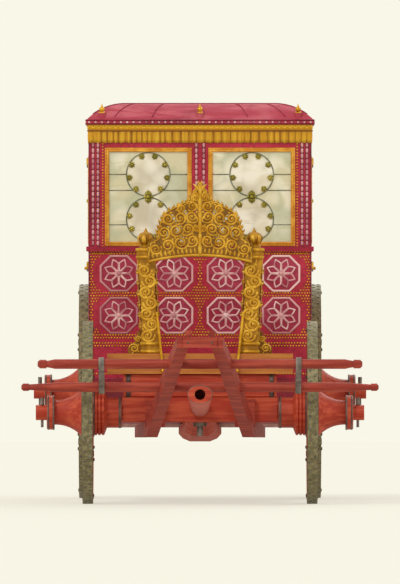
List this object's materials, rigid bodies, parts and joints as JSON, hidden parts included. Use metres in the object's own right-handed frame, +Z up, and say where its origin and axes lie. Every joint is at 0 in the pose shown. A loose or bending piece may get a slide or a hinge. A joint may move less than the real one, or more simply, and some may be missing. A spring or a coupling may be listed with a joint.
{
  "type": "horse-drawn state coach",
  "caption": "Closed crimson state coach with mica windows, gilt pierced crests on carved posts, braces, a steering front axle and spoked wheels.",
  "frame": {"origin": "middle of the footprint, on the ground", "axes": "+Z up, -Y the way the coach drives, +X to the coach's left"},
  "size_m": [2.29, 4.9974, 2.594],
  "materials": {
    "crimson_leather": "dyed leather panels with silvered and gilt nail work",
    "crimson_velvet": "silk velvet, short pile",
    "gold_fringe": "gold thread fringe with a braided header",
    "gilt_wood": "carved wood, gilded over red ground",
    "gilt_metal": "gilt brass, softly worn",
    "red_rail": "dark crimson painted moulding",
    "vermilion_wood": "turned and hewn wood in vermilion oil paint",
    "pale_wood": "planed boards, thin pale paint",
    "mica": "cleaved mica sheet, milky and layered",
    "iron": "forged iron, browned",
    "strake_iron": "forged strakes, bright where they run",
    "brace_leather": "thick harness leather",
    "sash_cloth": "twisted silk cord"
  },
  "bodies": {
    "coach": {"floor": "red_rail", "bottom_board": "pale_wood", "front_wall": "crimson_leather", "rear_wall": "crimson_leather", "left_wall": "crimson_leather", "right_wall": "crimson_leather", "roof": "crimson_velvet", "roof_finials": "gilt_metal", "fringe": "gold_fringe", "belt_rails": "red_rail", "window_frames": "gilt_wood", "window_panes": "mica", "benches": "red_rail", "front_cushion": "crimson_velvet", "rear_cushion": "crimson_velvet", "door_pintles": "iron", "perch": "vermilion_wood", "rear_axle": "vermilion_wood", "rear_linchpins": "iron", "rear_pedestal": "vermilion_wood", "rear_uprights": "vermilion_wood", "rear_brackets": "gilt_wood", "rear_posts": "gilt_wood", "rear_crest": "gilt_wood", "kingpin": "iron", "front_bolster": "vermilion_wood", "front_transom": "gilt_wood", "front_posts": "gilt_wood", "front_crest": "gilt_wood", "front_brackets": "gilt_wood", "front_stays": "gilt_metal", "braces": "brace_leather", "sash": "sash_cloth", "sash_hooks": "iron"},
    "front_carriage": {"front_axle": "vermilion_wood", "front_linchpins": "iron", "draught_fork": "vermilion_wood", "lower_bar": "vermilion_wood", "upper_bar": "vermilion_wood", "bar_straps": "iron", "pole_head": "vermilion_wood"},
    "front_left_wheel": {"front_left_wheel": "vermilion_wood", "front_left_wheel_tyre": "strake_iron"},
    "front_right_wheel": {"front_right_wheel": "vermilion_wood", "front_right_wheel_tyre": "strake_iron"},
    "rear_left_wheel": {"rear_left_wheel": "vermilion_wood", "rear_left_wheel_tyre": "strake_iron"},
    "rear_right_wheel": {"rear_right_wheel": "vermilion_wood", "rear_right_wheel_tyre": "strake_iron"},
    "left_door": {"left_door": "crimson_leather", "left_door_pane": "mica", "left_door_fittings": "gilt_metal"},
    "right_door": {"right_door": "crimson_leather", "right_door_pane": "mica", "right_door_fittings": "gilt_metal"}
  },
  "joints": [
    {"name": "steering", "type": "hinge", "parent": "coach", "child": "front_carriage", "pos_m": [0, -1.05865, 0.588], "axis": [0, 0, 1], "range_deg": [-18, 18]},
    {"name": "front_left_wheel_spin", "type": "hinge", "parent": "front_carriage", "child": "front_left_wheel", "pos_m": [0, -1.05865, 0.588], "axis": [1, 0, 0], "continuous": true},
    {"name": "front_right_wheel_spin", "type": "hinge", "parent": "front_carriage", "child": "front_right_wheel", "pos_m": [0, -1.05865, 0.588], "axis": [1, 0, 0], "continuous": true},
    {"name": "rear_left_wheel_spin", "type": "hinge", "parent": "coach", "child": "rear_left_wheel", "pos_m": [0, 1.79165, 0.707], "axis": [1, 0, 0], "continuous": true},
    {"name": "rear_right_wheel_spin", "type": "hinge", "parent": "coach", "child": "rear_right_wheel", "pos_m": [0, 1.79165, 0.707], "axis": [1, 0, 0], "continuous": true},
    {"name": "left_door_swing", "type": "hinge", "parent": "coach", "child": "left_door", "pos_m": [0.732, 0.33415, 1.4], "axis": [0, 0, -1], "range_deg": [0, 100]},
    {"name": "right_door_swing", "type": "hinge", "parent": "coach", "child": "right_door", "pos_m": [-0.732, 0.33415, 1.4], "axis": [0, 0, 1], "range_deg": [0, 100]}
  ]
}
